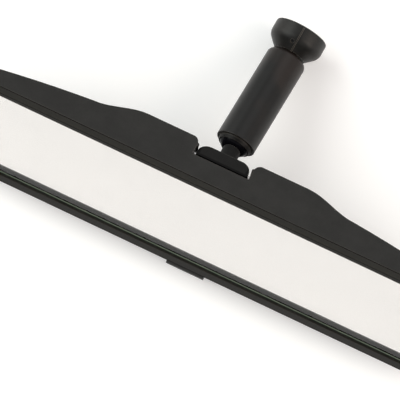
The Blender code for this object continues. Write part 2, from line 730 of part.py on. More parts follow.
def flip_lever(parent, finish):
    lever = rod("flip_lever", LEVER_HUB_RADIUS, LEVER_WIDTH, finish, steps=28)
    place(lever, parent, rotation=ALONG_X)
    plate = extruded("lever_plate", lever_section(), LEVER_WIDTH)
    plate.parent = parent
    plate.matrix_local = (Matrix.Rotation(-LEVER_ANGLE, 4, "X") @ Matrix.Rotation(math.pi / 2, 4, "Z")
                          @ Matrix.Rotation(math.pi / 2, 4, "X"))
    hole = rod("lever_hole", LEVER_PIN_RADIUS + PIN_GAP, 2 * LEVER_WIDTH)
    place(hole, parent, rotation=ALONG_X)
    join(lever, plate, fork_ear("fork_left", -1, parent), fork_ear("fork_right", 1, parent))
    cut(lever, hole)
    return lever


def lever_pin(parent, finish):
    half = ear_inner_face() + EAR_THICKNESS + 0.4 * MM
    pin = rod("lever_pin", LEVER_PIN_RADIUS, 2 * half, finish, steps=20)
    return place(pin, parent, (0, LEVER_Y - AXLE_Y, LEVER_Z - AXLE_Z), ALONG_X)


def detent_leaf(parent, finish):
    """A bowed strip across the lever's hub, screwed down at both ends."""
    half, bow = LEAF_SIZE[0] / 2, LEAF_BOW
    count = 10
    xs = [-half + LEAF_SIZE[0] * i / count for i in range(count + 1)]
    curve = [(x, leaf_back() - bow * max(0.0, math.cos(math.pi * x / LEAF_SCREW_SPACING))) for x in xs]
    front = [(x, y - LEAF_THICKNESS) for x, y in curve]
    leaf = extruded("detent_leaf", front + list(reversed(curve)), LEAF_SIZE[1], finish)
    place(leaf, parent, (0, -AXLE_Y, LEVER_Z - AXLE_Z))
    for name, side in (("leaf_hole_left", -1), ("leaf_hole_right", 1)):
        hole = rod(name, SCREW_RADIUS + PIN_GAP, 4 * MM, steps=16)
        spot = (side * LEAF_SCREW_SPACING / 2, leaf_back() - AXLE_Y, LEVER_Z - AXLE_Z)
        cut(leaf, place(hole, parent, spot, FACE_PLANE))
    return leaf


def leaf_screw(name, side, parent, finish):
    """Round-headed screw, head towards the glass, with a cross slot left plain."""
    shank = HUMP_DEPTH - CASE_WALL - leaf_back() - 2 * GAP
    head = LEAF_THICKNESS + GAP
    profile = [(0.0, head + SCREW_HEAD_HEIGHT), (SCREW_HEAD_RADIUS * 0.7, head + SCREW_HEAD_HEIGHT),
               (SCREW_HEAD_RADIUS, head + SCREW_HEAD_HEIGHT * 0.5), (SCREW_HEAD_RADIUS, head),
               (SCREW_RADIUS, head), (SCREW_RADIUS, -shank), (0.0, -shank)]
    screw = turned(name, profile, finish, steps=16)
    spot = (side * LEAF_SCREW_SPACING / 2, leaf_back() - AXLE_Y, LEVER_Z - AXLE_Z)
    return place(screw, parent, spot, FACE_PLANE)


# ---- balls, liners, cups, tube and spring -----------------------------------
def ball(name, neck_radius, parent, location, rotation, finish):
    """A ball with a flat for its neck and a blind hole for the stem, both towards local +Z."""
    hole, floor = STEM_RADIUS + GAP, -STEM_PAST_CENTRE - GAP
    start = math.asin(neck_radius / BALL_RADIUS)
    flat = BALL_RADIUS * math.cos(start)
    profile = [(0.0, floor), (hole, floor), (hole, flat)] + ball_arc(0.0, BALL_RADIUS, start, math.pi)
    profile[-1] = (0.0, -BALL_RADIUS)
    return place(turned(name, profile, finish), parent, location, rotation)


def ball_liner(name, opening, parent, location, rotation, finish):
    """A thin zone of a hollow ball, between two polar angles from local +Z."""
    outer = ball_arc(0.0, LINER_OUTER, opening, LINER_END)
    inner = ball_arc(0.0, LINER_INNER, LINER_END, opening)
    return place(turned(name, outer + inner, finish, closed=True), parent, location, rotation)


def pressure_cup(name, parent, location, rotation, finish):
    """A disc with a hollow face that presses on the back of a ball, towards local -Z."""
    rim = LINER_INNER * math.sin(CUP_START)
    face = ball_arc(0.0, LINER_INNER, math.pi, CUP_START)
    face[0] = (0.0, -LINER_INNER)
    profile = face + [(rim, -CUP_BACK), (0.0, -CUP_BACK)]
    return place(turned(name, profile, finish, steps=32), parent, location, rotation)


def arm_tube(parent, finish):
    """Thin tube, rounded in at the top and slightly rolled in at its open lower end."""
    lower = -BALL_SPACING
    mouth = lower - TUBE_MOUTH
    lip = math.sqrt(TUBE_BORE ** 2 - (TUBE_MOUTH - TUBE_WALL / 2) ** 2)
    crimp = arc((TUBE_LIP, TUBE_TOP - TUBE_CRIMP_RADIUS), TUBE_CRIMP_RADIUS, math.pi / 2, 0.0,
                math.radians(15))
    roll = arc((TUBE_RADIUS - TUBE_MOUTH_ROLL, mouth + TUBE_MOUTH_ROLL), TUBE_MOUTH_ROLL, 0.0,
               -math.pi / 3, math.radians(20))
    end_angle = math.pi / 2 + math.asin((TUBE_MOUTH - TUBE_WALL / 2) / TUBE_BORE)
    lower_seat = ball_arc(lower, TUBE_BORE, end_angle, math.pi / 2)
    upper_seat = ball_arc(0.0, TUBE_BORE, math.pi / 2, math.asin(TUBE_LIP / TUBE_BORE))
    profile = crimp + roll + [(lip, mouth)] + lower_seat + upper_seat
    return place(turned("arm_tube", profile, finish, closed=True), parent)


def arm_spring(parent, finish):
    """Compression spring between the two pressure cups."""
    low = -BALL_SPACING + CUP_BACK + GAP + SPRING_WIRE
    high = -CUP_BACK - GAP - SPRING_WIRE
    per_turn = 12
    count = round(per_turn * SPRING_TURNS)
    points = []
    for i in range(count + 1):
        angle = 2 * math.pi * i / per_turn
        points.append((SPRING_RADIUS * math.cos(angle), SPRING_RADIUS * math.sin(angle),
                       low + (high - low) * i / count))
    return place(wire("arm_spring", points, SPRING_WIRE, finish), parent)


# ---- foot -------------------------------------------------------------------
def sweep_radius():
    """Radius of the hollow under the bell, clear of the tube's rounded end at any bend."""
    centre = math.hypot(TUBE_LIP, TUBE_TOP - TUBE_CRIMP_RADIUS)
    return centre + TUBE_CRIMP_RADIUS + FOOT_SWEEP_GAP


def bell_side(grow=0.0):
    """Side of the bell from the band's foot to the hollow, as (radius, height) points."""
    band = SOCKET_DEPTH - FOOT_BAND
    offset = FOOT_RADIUS - (band + SEAT_TO_BALL)
    tip = (-offset + math.sqrt(2 * sweep_radius() ** 2 - offset ** 2)) / 2
    drop = BELL_TURN_RADIUS * math.tan(math.pi / 8)
    turn = arc((FOOT_RADIUS - BELL_TURN_RADIUS, band + drop), BELL_TURN_RADIUS + grow, 0.0,
               -math.pi / 4, math.radians(15))
    slant = grow / math.sqrt(2)
    return turn + [(tip + offset + slant, tip - SEAT_TO_BALL - slant)]


def bell_profile():
    rim = SOCKET_DEPTH
    groove, wire_height = SOCKET_RADIUS + SNAP_RING_WIRE + GAP, rim - SNAP_RING_BELOW_RIM
    half = SNAP_RING_WIRE + GAP
    inside = [(0.0, 0.0), (SOCKET_RADIUS, 0.0), (SOCKET_RADIUS, wire_height - half),
              (groove, wire_height - half), (groove, wire_height + half),
              (SOCKET_RADIUS, wire_height + half), (SOCKET_RADIUS, rim)]
    sweep, centre = sweep_radius(), -SEAT_TO_BALL
    edge = arc((FOOT_RADIUS - FOOT_EDGE, rim - FOOT_EDGE), FOOT_EDGE, math.pi / 2, 0.0,
               math.radians(30))
    outer = edge + bell_side()
    start = math.asin(outer[-1][0] / sweep)
    hollow = ball_arc(centre, sweep, start, math.asin(UPPER_NECK_RADIUS / sweep))[1:]
    shoulder = centre + stem_end(UPPER_NECK_RADIUS)
    stem = [(UPPER_NECK_RADIUS, shoulder), (STEM_RADIUS, shoulder),
            (STEM_RADIUS, centre - STEM_PAST_CENTRE), (0.0, centre - STEM_PAST_CENTRE)]
    return inside + outer + hollow + stem


def mould_rib(name, parent, turn):
    """Raised parting line along one side of the bell."""
    top = SOCKET_DEPTH - 1.5 * FOOT_EDGE
    outer = [(FOOT_RADIUS + RIB_HEIGHT, top)] + bell_side(RIB_HEIGHT)
    inner = [(FOOT_RADIUS, top)] + bell_side()
    buried = [(r - RIB_ROOT, z + RIB_ROOT) for r, z in reversed(inner)]
    rib = extruded(name, outer + buried, RIB_WIDTH)
    rib.parent = parent
    rib.matrix_local = Matrix.Rotation(turn, 4, "Z") @ Matrix.Rotation(math.pi / 2, 4, "X")
    return rib


def set_screw_frame():
    """Place and direction of the set screw: square to the bell's cone, aimed at the socket."""
    height = SOCKET_DEPTH - SET_SCREW_BELOW_RIM
    radius = FOOT_RADIUS - (SOCKET_DEPTH - FOOT_BAND) + height
    spin = Matrix.Rotation(-math.pi / 2 + SET_SCREW_TURN, 4, "Z")
    lean = Matrix.Rotation(3 * math.pi / 4, 4, "Y")
    return spin @ Matrix.Translation((radius, 0, height)) @ lean


def foot_bell(parent, finish):
    bell = place(turned("foot_bell", bell_profile(), finish), parent)
    join(bell, mould_rib("rib_top", parent, -math.pi / 2), mould_rib("rib_bottom", parent, math.pi / 2))
    hole = rod("set_screw_hole", SET_SCREW_RADIUS + PIN_GAP, 9 * MM, steps=16)
    hole.parent = parent
    hole.matrix_local = set_screw_frame()
    cut(bell, hole)
    return bell


def set_screw(parent, finish):
    """Headless screw with a socket in its outer end."""
    screw = rod("foot_set_screw", SET_SCREW_RADIUS, SET_SCREW_LENGTH, finish, steps=16)
    key = rod("set_screw_key", SET_SCREW_RADIUS * 0.55, SET_SCREW_LENGTH * 0.6, steps=6)
    screw.parent = parent
    key.parent = parent
    middle = Matrix.Translation((0, 0, -SET_SCREW_SUNK - SET_SCREW_LENGTH / 2))
    screw.matrix_local = set_screw_frame() @ middle
    key.matrix_local = set_screw_frame() @ Matrix.Translation((0, 0, -SET_SCREW_SUNK))
    cut(screw, key)
    return screw


def snap_ring(parent, finish):
    """Open wire ring in the socket's groove, which grips the windscreen button."""
    gap = math.radians(24)
    count = 30
    height = SOCKET_DEPTH - SNAP_RING_BELOW_RIM
    angles = [gap + (2 * math.pi - 2 * gap) * i / count for i in range(count + 1)]
    points = [(SOCKET_RADIUS * math.cos(a), SOCKET_RADIUS * math.sin(a), height) for a in angles]
    return place(wire("button_snap_ring", points, SNAP_RING_WIRE, finish), parent)


# ---- materials --------------------------------------------------------------
def make_materials():
    black = (0.032, 0.031, 0.030)
    return {
        "case": material("case_plastic", black, 0.55),
        "bezel": material("bezel_plastic", (0.030, 0.029, 0.027), 0.5),
        "cast": material("black_casting", (0.034, 0.033, 0.033), 0.5, 0.2),
        "tube": material("black_tube", (0.028, 0.026, 0.025), 0.38, 0.3),
        "bell": material("bell_plastic", (0.026, 0.025, 0.023), 0.42),
        "ball": material("ball_plastic", (0.012, 0.012, 0.013), 0.2),
        "nylon": material("nylon", (0.06, 0.055, 0.05), 0.45),
        "steel": material("steel", (0.55, 0.55, 0.56), 0.35, 1.0),
        "spring": material("spring_steel", (0.42, 0.42, 0.43), 0.3, 1.0),
        "glass": material("glass", (0.85, 0.93, 0.88), 0.05),
        "silver": material("silver", (0.95, 0.95, 0.94), 0.03, 1.0),
        "foam": material("foam", (0.10, 0.10, 0.11), 0.95),
        "lever": material("lever_plastic", (0.030, 0.029, 0.027), 0.5),
    }


# ---- assembly ---------------------------------------------------------------
def build_foot(kit):
    at = frame("foot_frame", Vector((0, 0, 0)), aim(FOOT_PITCH, FOOT_YAW, FOOT_ROLL))
    foot_bell(at, kit["bell"])
    set_screw(at, kit["steel"])
    snap_ring(at, kit["spring"])
    ball("upper_ball", UPPER_NECK_RADIUS, at, (0, 0, -SEAT_TO_BALL), (0, 0, 0), kit["ball"])


def build_arm(upper_centre, kit):
    at = frame("arm_frame", upper_centre, aim(ARM_PITCH, ARM_YAW))
    lower = (0, 0, -BALL_SPACING)
    flip = (math.pi, 0, 0)
    arm_tube(at, kit["tube"])
    arm_spring(at, kit["spring"])
    ball_liner("upper_ball_liner", UPPER_LINER_OPENING, at, (0, 0, 0), (0, 0, 0), kit["nylon"])
    pressure_cup("upper_pressure_cup", at, (0, 0, 0), (0, 0, 0), kit["nylon"])
    ball_liner("lower_ball_liner", LINER_OPENING, at, lower, flip, kit["nylon"])
    pressure_cup("lower_pressure_cup", at, lower, flip, kit["nylon"])


def build_bracket(mirror_origin, kit):
    at = frame("bracket_frame", mirror_origin + LOWER_BALL)
    shift = frame("bracket_pieces", mirror_origin)
    pivot_bracket(shift, kit["cast"])
    tail_pin(shift, kit["steel"])
    ball("lower_ball", LOWER_NECK_RADIUS, at, (0, 0, 0), (math.pi / 2, 0, 0), kit["ball"])


def build_head(mirror_origin, kit):
    at = frame("tilt_frame", mirror_origin + Vector((0, AXLE_Y, AXLE_Z)))
    shift = frame("head_pieces", mirror_origin)
    window = frame("window_centre", mirror_origin + Vector((0, 0, OPENING_RISE)))
    rear_case(shift, kit["case"])
    bezel(shift, window, kit["bezel"])
    prism_glass(window, kit["glass"])
    silver_backing(window, kit["silver"])
    foam_pad(window, kit["foam"])
    tilt_axle(at, kit["steel"])
    axle_clip("axle_clip_left", -1, at, kit["spring"])
    axle_clip("axle_clip_right", 1, at, kit["spring"])
    lever_pin(at, kit["steel"])
    detent_leaf(at, kit["spring"])
    leaf_screw("leaf_screw_left", -1, at, kit["steel"])
    leaf_screw("leaf_screw_right", 1, at, kit["steel"])


def build_lever(mirror_origin, kit):
    at = frame("lever_frame", mirror_origin + Vector((0, LEVER_Y, LEVER_Z)))
    flip_lever(at, kit["lever"])


def main():
    kit = make_materials()
    outward = aim(FOOT_PITCH, FOOT_YAW) @ Vector((0, 0, 1))
    along_arm = aim(ARM_PITCH, ARM_YAW) @ Vector((0, 0, 1))
    upper_centre = -outward * SEAT_TO_BALL
    lower_centre = upper_centre - along_arm * BALL_SPACING
    mirror_origin = lower_centre - LOWER_BALL
    build_foot(kit)
    build_arm(upper_centre, kit)
    build_bracket(mirror_origin, kit)
    build_head(mirror_origin, kit)
    build_lever(mirror_origin, kit)
    bpy.context.view_layer.update()


main()
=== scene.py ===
"""Day/night interior rear-view mirror: finishes, small detail, floor, light and camera."""
import json
import math

import bmesh
import bpy
from bpy.props import FloatProperty, FloatVectorProperty, PointerProperty
from mathutils import Matrix, Vector


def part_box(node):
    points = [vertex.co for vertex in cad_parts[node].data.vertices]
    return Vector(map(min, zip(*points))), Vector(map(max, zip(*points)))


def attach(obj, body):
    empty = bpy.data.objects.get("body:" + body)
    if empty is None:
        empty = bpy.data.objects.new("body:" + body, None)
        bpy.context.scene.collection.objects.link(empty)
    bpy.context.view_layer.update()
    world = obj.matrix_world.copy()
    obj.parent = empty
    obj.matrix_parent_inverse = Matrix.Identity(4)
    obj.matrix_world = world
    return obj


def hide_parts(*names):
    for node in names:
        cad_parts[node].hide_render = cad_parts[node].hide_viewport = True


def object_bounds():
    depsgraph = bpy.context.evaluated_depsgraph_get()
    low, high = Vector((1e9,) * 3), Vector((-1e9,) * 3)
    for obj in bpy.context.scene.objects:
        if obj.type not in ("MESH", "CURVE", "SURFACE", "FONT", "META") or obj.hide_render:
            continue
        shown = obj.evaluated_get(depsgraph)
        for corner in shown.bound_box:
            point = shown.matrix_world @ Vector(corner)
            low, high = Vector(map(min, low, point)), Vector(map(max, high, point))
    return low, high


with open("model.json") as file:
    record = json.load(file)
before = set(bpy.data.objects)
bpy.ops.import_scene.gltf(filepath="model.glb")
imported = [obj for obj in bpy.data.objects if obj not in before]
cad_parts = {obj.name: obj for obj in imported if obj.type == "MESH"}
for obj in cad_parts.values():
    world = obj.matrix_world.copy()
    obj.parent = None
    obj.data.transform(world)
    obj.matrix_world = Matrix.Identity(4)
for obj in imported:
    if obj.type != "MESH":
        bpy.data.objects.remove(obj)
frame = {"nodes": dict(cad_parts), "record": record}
CAD_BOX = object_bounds()

bl_info = {
    "name": "Rear-view mirror",
    "version": (1, 0, 0),
    "blender": (4, 5, 0),
    "location": "View3D > Sidebar > Mirror",
    "description": "Finishes and small detail for a day/night rear-view mirror",
    "category": "Object",
}

MM = 0.001

RIM_CORNER = 11.0 * MM        # corner radius of the case and the rim
GLASS_CUT = 0.3 * MM          # how far the glass stops short of its rebate
SKIN_GAP = 0.04 * MM          # between the glass and the silver laid on it
LIP_REFLECTION_WIDTH = 5.0 * MM        # width of the dark band below the silver, a painted reflection of the rim's dark lip
LINER_RING = 0.8 * MM         # spacing of the rings turned on the liners

WALL_GLOW = 0.72              # light from the pale walls
CEILING_GLOW = 0.12           # light from the dim opening above the table
TABLE_GLOW = 0.13
# name, place over the table, width, power, colour
LAMPS = (("soft_left", (-1.3, 0.35, 1.1), 1.5, 20.0, (0.97, 1.0, 0.96)),
         ("soft_far", (0.3, 1.5, 1.0), 1.3, 5.0, (1.0, 0.98, 0.96)),
         ("soft_right", (1.6, 0.2, 1.2), 1.4, 18.0, (1.0, 0.86, 0.76)))
AIM = Vector((-3.8, -26.5, -17.7)) * MM    # from the lower ball to where the camera aims


# ---- places read from the frame ---------------------------------------------
def joint_place(name):
    joint = next(j for j in frame["record"]["behaviour"]["joints"] if j["name"] == name)
    return Vector(joint["pos_m"])


def joint_axis(name):
    joint = next(j for j in frame["record"]["behaviour"]["joints"] if j["name"] == name)
    return Vector(joint["axis"]).normalized()


LOWER_BALL = joint_place("mirror_tilt")
ARM = joint_axis("arm_spin")
BEZEL_LOW, BEZEL_HIGH = (Vector(corner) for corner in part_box("bezel"))
CASE_LOW, CASE_HIGH = (Vector(corner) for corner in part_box("rear_case"))
GLASS_LOW = Vector(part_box("prism_glass")[0])
BRACKET_LOW, BRACKET_HIGH = (Vector(corner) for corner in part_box("pivot_bracket"))
LEVER_LOW = Vector(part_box("flip_lever")[0])


# ---- shader maths -----------------------------------------------------------
class Sock:
    """An output socket that adds Math nodes when it is used in an expression."""

    def __init__(self, tree, socket):
        self.tree = tree
        self.socket = socket

    def math(self, operation, *values):
        node = self.tree.nodes.new("ShaderNodeMath")
        node.operation = operation
        for socket, value in zip(node.inputs, values):
            plug(self.tree, socket, value)
        return Sock(self.tree, node.outputs[0])

    def __add__(self, other):
        return self.math("ADD", self, other)

    def __radd__(self, other):
        return self.math("ADD", other, self)

    def __sub__(self, other):
        return self.math("SUBTRACT", self, other)

    def __rsub__(self, other):
        return self.math("SUBTRACT", other, self)

    def __mul__(self, other):
        return self.math("MULTIPLY", self, other)

    def __rmul__(self, other):
        return self.math("MULTIPLY", other, self)

    def __truediv__(self, other):
        return self.math("DIVIDE", self, other)

    def __rtruediv__(self, other):
        return self.math("DIVIDE", other, self)

    def __pow__(self, other):
        return self.math("POWER", self, other)

    def abs(self):
        return self.math("ABSOLUTE", self)

    def sine(self):
        return self.math("SINE", self)

    def at_least(self, other):
        return self.math("MAXIMUM", self, other)

    def ramp(self, low, high):
        """0 below low, 1 above high, smooth between them."""
        node = self.tree.nodes.new("ShaderNodeMapRange")
        node.interpolation_type = "SMOOTHSTEP"
        for name, value in (("Value", self), ("From Min", low), ("From Max", high)):
            plug(self.tree, node.inputs[name], value)
        return Sock(self.tree, node.outputs[0])


def plug(tree, socket, value):
    if isinstance(value, Sock):
        tree.links.new(value.socket, socket)
    elif isinstance(value, (tuple, list)) and len(value) == 3 and socket.type == "RGBA":
        socket.default_value = (*value, 1.0)
    else:
        socket.default_value = value


class Finish:
    """A material under construction, with the Principled shader it ends in."""

    def __init__(self, name):
        self.material = bpy.data.materials.new(name)
        self.material.use_nodes = True
        self.tree = self.material.node_tree
        self.shader = self.tree.nodes["Principled BSDF"]

    def node(self, kind, settings=(), output=0, **sockets):
        """Any node: its type, its settings, then its sockets by name."""
        made = self.tree.nodes.new(kind)
        for key, value in dict(settings).items():
            setattr(made, key, value)
        for key, value in sockets.items():
            plug(self.tree, made.inputs[key.replace("_", " ")], value)
        return Sock(self.tree, made.outputs[output])

    def set(self, **sockets):
        for key, value in sockets.items():
            plug(self.tree, self.shader.inputs[key.replace("_", " ")], value)
        return self

    def place(self):
        return self.node("ShaderNodeTexCoord", output=3)

    def axis(self, vector, number):
        return self.node("ShaderNodeSeparateXYZ", output=number, Vector=vector)

    def noise(self, size, detail=3.0, roughness=0.5, vector=None):
        """Noise from 0 to 1 whose blotches are about size metres across."""
        return self.node("ShaderNodeTexNoise", Vector=vector or self.place(), Scale=1.0 / size,
                         Detail=detail, Roughness=roughness)

    def mix(self, mask, a, b):
        made = self.tree.nodes.new("ShaderNodeMix")
        made.data_type = "RGBA"
        plug(self.tree, made.inputs[0], mask)
        plug(self.tree, made.inputs[6], a)
        plug(self.tree, made.inputs[7], b)
        return Sock(self.tree, made.outputs[2])

    def bump(self, height, distance, strength=1.0):
        """Relief of the given depth in metres."""
        return self.node("ShaderNodeBump", Height=height, Distance=distance, Strength=strength)

    def worn_edges(self, radius, amount=1.0):
        """Mask that is 1 along convex edges, about radius metres wide."""
        rounded = self.node("ShaderNodeBevel", {"samples": 4}, Radius=radius)
        plain = self.node("ShaderNodeNewGeometry", output=1)
        same = self.tree.nodes.new("ShaderNodeVectorMath")
        same.operation = "DOT_PRODUCT"
        plug(self.tree, same.inputs[0], rounded)
        plug(self.tree, same.inputs[1], plain)
        return (1.0 - Sock(self.tree, same.outputs["Value"])).ramp(0.002, 0.06) * amount


# ---- finishes ---------------------------------------------------------------
def case_plastic():
    """Fine-grained moulded plastic with a bare, slightly paler line on its edges."""
    finish = Finish("case_plastic_seen")
    sizes = bpy.context.scene.mirror_finish
    cloud = finish.noise(9 * MM, 4.0, 0.6)
    speck = finish.noise(0.45 * MM, 2.0, 0.7)
    edges = finish.worn_edges(0.35 * MM, 0.75)
    dark = finish.mix((cloud * 0.6 + speck * 0.4).ramp(0.35, 0.68), tuple(sizes.case_colour),
                      tuple(c * 1.45 for c in sizes.case_colour))
    colour = finish.mix(edges, dark, (0.075, 0.068, 0.062))
    grain = finish.noise(0.28 * MM, 2.0, 0.6)
    finish.set(Base_Color=colour, Roughness=0.5 + cloud * 0.12 - edges * 0.12,
               Normal=finish.bump(grain, 0.03 * MM, 0.6), Specular_IOR_Level=0.17)
    return finish.material


def rim_distance(finish, place):
    """Distance inside the rounded outline of the rim, negative inside, in metres."""
    centre, half = (BEZEL_LOW + BEZEL_HIGH) / 2, (BEZEL_HIGH - BEZEL_LOW) / 2
    across = (finish.axis(place, 0) - centre.x).abs() - (half.x - RIM_CORNER)
    up = (finish.axis(place, 2) - centre.z).abs() - (half.z - RIM_CORNER)
    across, up = across.at_least(0.0), up.at_least(0.0)
    return (across * across + up * up) ** 0.5 - RIM_CORNER


def bezel_plastic():
    """Satin moulded rim with a fine grooved line round its front, the line's near-black colour
    painted shade.
    """
    finish = Finish("bezel_plastic_seen")
    cloud = finish.noise(7 * MM, 3.0, 0.55)
    edges = finish.worn_edges(0.3 * MM, 0.35)
    scuffs = finish.noise(1.6 * MM, 6.0, 0.75).ramp(0.6, 0.75)
    place = finish.place()
    line = 1.0 - ((rim_distance(finish, place) + 0.55 * MM).abs()).ramp(0.18 * MM, 0.34 * MM)
    front = 1.0 - finish.axis(place, 1).ramp(BEZEL_LOW.y + 0.3 * MM, BEZEL_LOW.y + 0.7 * MM)
    # the grooved line is shallow relief (bump, roughness); its near-black colour is painted
    # shade
    groove_relief_and_shade = line * front
    colour = finish.mix(cloud, (0.011, 0.011, 0.0095), (0.019, 0.018, 0.015))
    colour = finish.mix(edges, colour, (0.07, 0.065, 0.05))
    # painted shade in the grooved line
    colour = finish.mix(groove_relief_and_shade, colour, (0.002, 0.002, 0.002))
    finish.set(Base_Color=colour, Roughness=0.46 + scuffs * 0.1 + cloud * 0.06 + groove_relief_and_shade * 0.4,
               Specular_IOR_Level=0.14,
               Normal=finish.bump(finish.noise(0.5 * MM, 2.0) - groove_relief_and_shade * 6.0, 0.02 * MM, 0.6))
    return finish.material


def black_casting():
    """Satin black coating over a zinc casting: faint orange peel and rubbed edges, with painted
    shade at its ends and along its lower front edge.
    """
    finish = Finish("black_casting_seen")
    cloud = finish.noise(5 * MM, 3.0, 0.6)
    peel = finish.noise(0.9 * MM, 2.0, 0.45)
    edges = finish.worn_edges(0.3 * MM, 0.55)
    colour = finish.mix(cloud, (0.006, 0.006, 0.006), (0.011, 0.0108, 0.0105))
    colour = finish.mix(edges, colour, (0.12, 0.115, 0.105))
    place, middle = finish.place(), (BRACKET_LOW.x + BRACKET_HIGH.x) / 2
    half = BRACKET_HIGH.x - middle
    # painted shade: the bracket's ends (its undercut) and its lower front edge (the gap against
    # the case) turn near-black
    ends = (finish.axis(place, 0) - middle).abs().ramp(half - 1.7 * MM, half - 1.1 * MM)
    front = 1.0 - finish.axis(place, 1).ramp(BRACKET_LOW.y + 0.9 * MM, BRACKET_LOW.y + 1.2 * MM)
    colour = finish.mix(ends.at_least(front), colour, (0.0015, 0.0015, 0.0015))
    finish.set(Base_Color=colour, Roughness=0.5 + cloud * 0.1, Metallic=edges * 0.4,
               Specular_IOR_Level=0.08, Normal=finish.bump(peel, 0.02 * MM, 0.6))
    return finish.material


def black_tube():
    """Satin black coated steel with fine drawing lines along the tube."""
    finish = Finish("black_tube_seen")
    place = finish.place()
    turn = ARM.to_track_quat("Z", "Y").to_euler()
    along = finish.node("ShaderNodeMapping", {"vector_type": "TEXTURE"}, Vector=place,
                        Rotation=tuple(turn), Scale=(0.35 * MM, 0.35 * MM, 14 * MM))
    lines = finish.node("ShaderNodeTexNoise", Vector=along, Scale=1.0, Detail=2.0)
    cloud = finish.noise(6 * MM, 3.0, 0.6)
    edges = finish.worn_edges(0.3 * MM, 0.6)
    warm = finish.noise(22 * MM, 2.0, 0.5).ramp(0.42, 0.62)
    colour = finish.mix(cloud, (0.002, 0.0021, 0.002), (0.006, 0.0058, 0.0055))
    colour = finish.mix(warm, colour, (0.012, 0.0085, 0.007))
    colour = finish.mix(edges, colour, (0.16, 0.135, 0.115))
    finish.set(Base_Color=colour, Roughness=0.27 + lines * 0.09 + cloud * 0.08,
               Normal=finish.bump(lines, 0.006 * MM, 0.6), Specular_IOR_Level=0.24)
    return finish.material


def bell_plastic():
    """Satin moulded plastic of the foot with faint flow marks."""
    finish = Finish("bell_plastic_seen")
    cloud = finish.noise(8 * MM, 4.0, 0.6)
    grain = finish.noise(0.4 * MM, 2.0, 0.6)
    edges = finish.worn_edges(0.3 * MM, 0.6)
    colour = finish.mix(cloud.ramp(0.3, 0.7), (0.005, 0.005, 0.0045), (0.011, 0.010, 0.0085))
    colour = finish.mix(edges, colour, (0.15, 0.13, 0.11))
    finish.set(Base_Color=colour, Roughness=0.36 + cloud * 0.1,
               Normal=finish.bump(grain, 0.015 * MM, 0.6), Specular_IOR_Level=0.25)
    return finish.material


def ball_plastic():
    """Gloss black ball with fine rings where the liner rubs it."""
    finish = Finish("ball_plastic_seen")
    cloud = finish.noise(4 * MM, 3.0, 0.6)
    smear = finish.noise(1.2 * MM, 5.0, 0.7).ramp(0.5, 0.75)
    colour = finish.mix(cloud, (0.002, 0.002, 0.003), (0.004, 0.004, 0.005))
    finish.set(Base_Color=colour, Roughness=0.16 + smear * 0.12, Specular_IOR_Level=0.06,
               Normal=finish.bump(finish.noise(2.5 * MM, 2.0), 0.02 * MM, 0.4))
    return finish.material


def nylon():
    """Dark nylon with a waxy surface and fine turned rings round the arm's axis."""
    finish = Finish("nylon_seen")
    cloud = finish.noise(3 * MM, 3.0, 0.6)
    turn = ARM.to_track_quat("Z", "Y").to_euler()
    local = finish.node("ShaderNodeMapping", {"vector_type": "TEXTURE"}, Vector=finish.place(),
                        Location=tuple(LOWER_BALL), Rotation=tuple(turn))
    across, up = finish.axis(local, 0), finish.axis(local, 1)
    out = (across * across + up * up) ** 0.5
    rings = (out * (2 * math.pi / LINER_RING)).sine().ramp(-0.2, 0.6)
    colour = finish.mix(cloud, (0.010, 0.0085, 0.007), (0.022, 0.018, 0.014))
    finish.set(Base_Color=finish.mix(rings, (0.0015, 0.0012, 0.001), colour),
               Roughness=0.38 + cloud * 0.15, Specular_IOR_Level=0.15,
               Normal=finish.bump(cloud, 0.02 * MM, 0.5))
    return finish.material


def bright_steel():
    """Turned steel with fine marks and a little tarnish."""
    finish = Finish("steel_seen")
    lines = finish.noise(0.25 * MM, 3.0, 0.7)
    tarnish = finish.noise(3 * MM, 4.0, 0.6).ramp(0.45, 0.75)
    finish.set(Base_Color=finish.mix(tarnish, (0.58, 0.58, 0.59), (0.36, 0.33, 0.30)),
               Metallic=1.0, Roughness=0.26 + tarnish * 0.25,
               Normal=finish.bump(lines, 0.006 * MM, 0.5))
    return finish.material


def dark_screw():
    """Black oxide on a small screw."""
    finish = Finish("dark_screw_seen")
    cloud = finish.noise(0.8 * MM, 3.0, 0.6)
    finish.set(Base_Color=finish.mix(cloud, (0.012, 0.012, 0.013), (0.03, 0.03, 0.032)),
               Metallic=0.6, Roughness=0.4 + cloud * 0.2,
               Normal=finish.bump(cloud, 0.01 * MM, 0.5))
    return finish.material


def spring_steel():
    """Blue-grey oil-hardened spring steel."""
    finish = Finish("spring_steel_seen")
    cloud = finish.noise(2 * MM, 4.0, 0.6)
    finish.set(Base_Color=finish.mix(cloud, (0.30, 0.31, 0.34), (0.45, 0.43, 0.40)),
               Metallic=1.0, Roughness=0.3 + cloud * 0.15,
               Normal=finish.bump(cloud, 0.006 * MM, 0.5))
    return finish.material


def mirror_glass():
    """Clear glass with a faint green tint and a breath of dust on it."""
    finish = Finish("mirror_glass_seen")
    dust = finish.noise(14 * MM, 5.0, 0.65).ramp(0.45, 0.9)
    finish.set(Base_Color=finish.mix(dust, (0.975, 0.968, 0.945), (0.955, 0.95, 0.93)),
               Roughness=0.004 + dust * 0.03, Transmission_Weight=1.0, IOR=1.42)
    return finish.material


